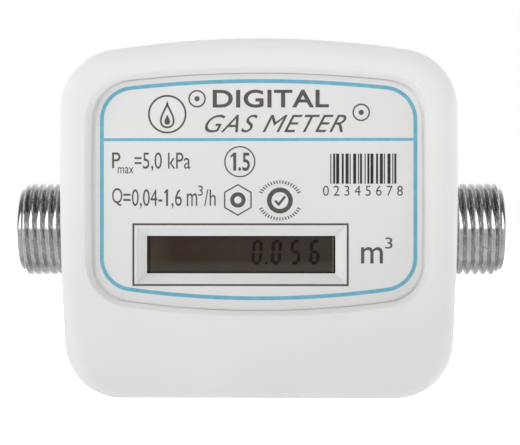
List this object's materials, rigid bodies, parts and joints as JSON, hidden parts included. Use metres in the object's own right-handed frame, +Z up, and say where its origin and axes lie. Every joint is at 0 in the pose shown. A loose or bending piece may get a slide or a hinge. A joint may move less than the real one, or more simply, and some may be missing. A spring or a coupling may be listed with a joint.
{
  "type": "gas meter",
  "caption": "Compact household jet gas meter: moulded two-part casing with a recessed label and display window, and a threaded pipe stub on each side.",
  "frame": {"origin": "centre of the casing's footprint, on the surface that the flat base stands on", "axes": "+X from inlet to outlet along the pipe axis, -Y out of the display face, +Z up"},
  "size_m": [0.11, 0.07, 0.076],
  "materials": {
    "casing": "satin",
    "label_film": "satin",
    "clear_pane": "clear",
    "display_glass": "clear",
    "reflector_film": "matte",
    "holder_plastic": "matte",
    "contact_rubber": "matte",
    "board_laminate": "satin",
    "chip_epoxy": "matte",
    "crystal_can": "brushed",
    "capacitor_body": "matte",
    "resistor_body": "matte",
    "header_plastic": "matte",
    "screw_steel": "zinc-plated",
    "battery_sleeve": "gloss",
    "tab_nickel": "brushed",
    "lead_insulation": "satin",
    "saddle_plastic": "matte",
    "body_casting": "as cast",
    "stub_zinc": "zinc-plated",
    "o_ring_rubber": "matte",
    "strainer_steel": "etched",
    "gasket_sheet": "matte",
    "jet_polymer": "matte",
    "cover_aluminium": "machined",
    "piezo_brass": "satin",
    "clamp_steel": "brushed",
    "seal_plastic": "gloss"
  },
  "bodies": {
    "root": {"front_cover": "casing", "rear_cover": "casing", "label_plate": "label_film", "window_pane": "clear_pane", "display_front_glass": "display_glass", "display_rear_glass": "display_glass", "display_reflector": "reflector_film", "display_holder": "holder_plastic", "contact_strips": "contact_rubber", "circuit_board": "board_laminate", "microcontroller": "chip_epoxy", "quartz_crystal": "crystal_can", "capacitors": "capacitor_body", "resistors": "resistor_body", "board_connectors": "header_plastic", "board_screws": "screw_steel", "battery": "battery_sleeve", "battery_tabs": "tab_nickel", "battery_leads": "lead_insulation", "battery_saddle": "saddle_plastic", "outlet_stub": "stub_zinc", "inlet_stub": "stub_zinc", "stub_o_rings": "o_ring_rubber", "inlet_strainer": "strainer_steel", "meter_body": "body_casting", "body_gasket": "gasket_sheet", "jet_plate": "jet_polymer", "jet_cover_gasket": "gasket_sheet", "jet_cover": "cover_aluminium", "jet_cover_screws": "screw_steel", "sensor_seals": "o_ring_rubber", "piezo_discs": "piezo_brass", "sensor_clamp": "clamp_steel", "sensor_clamp_screws": "screw_steel", "sensor_leads": "lead_insulation", "body_screws": "screw_steel", "case_screws": "screw_steel", "seal_plug": "seal_plastic"}
  },
  "joints": []
}
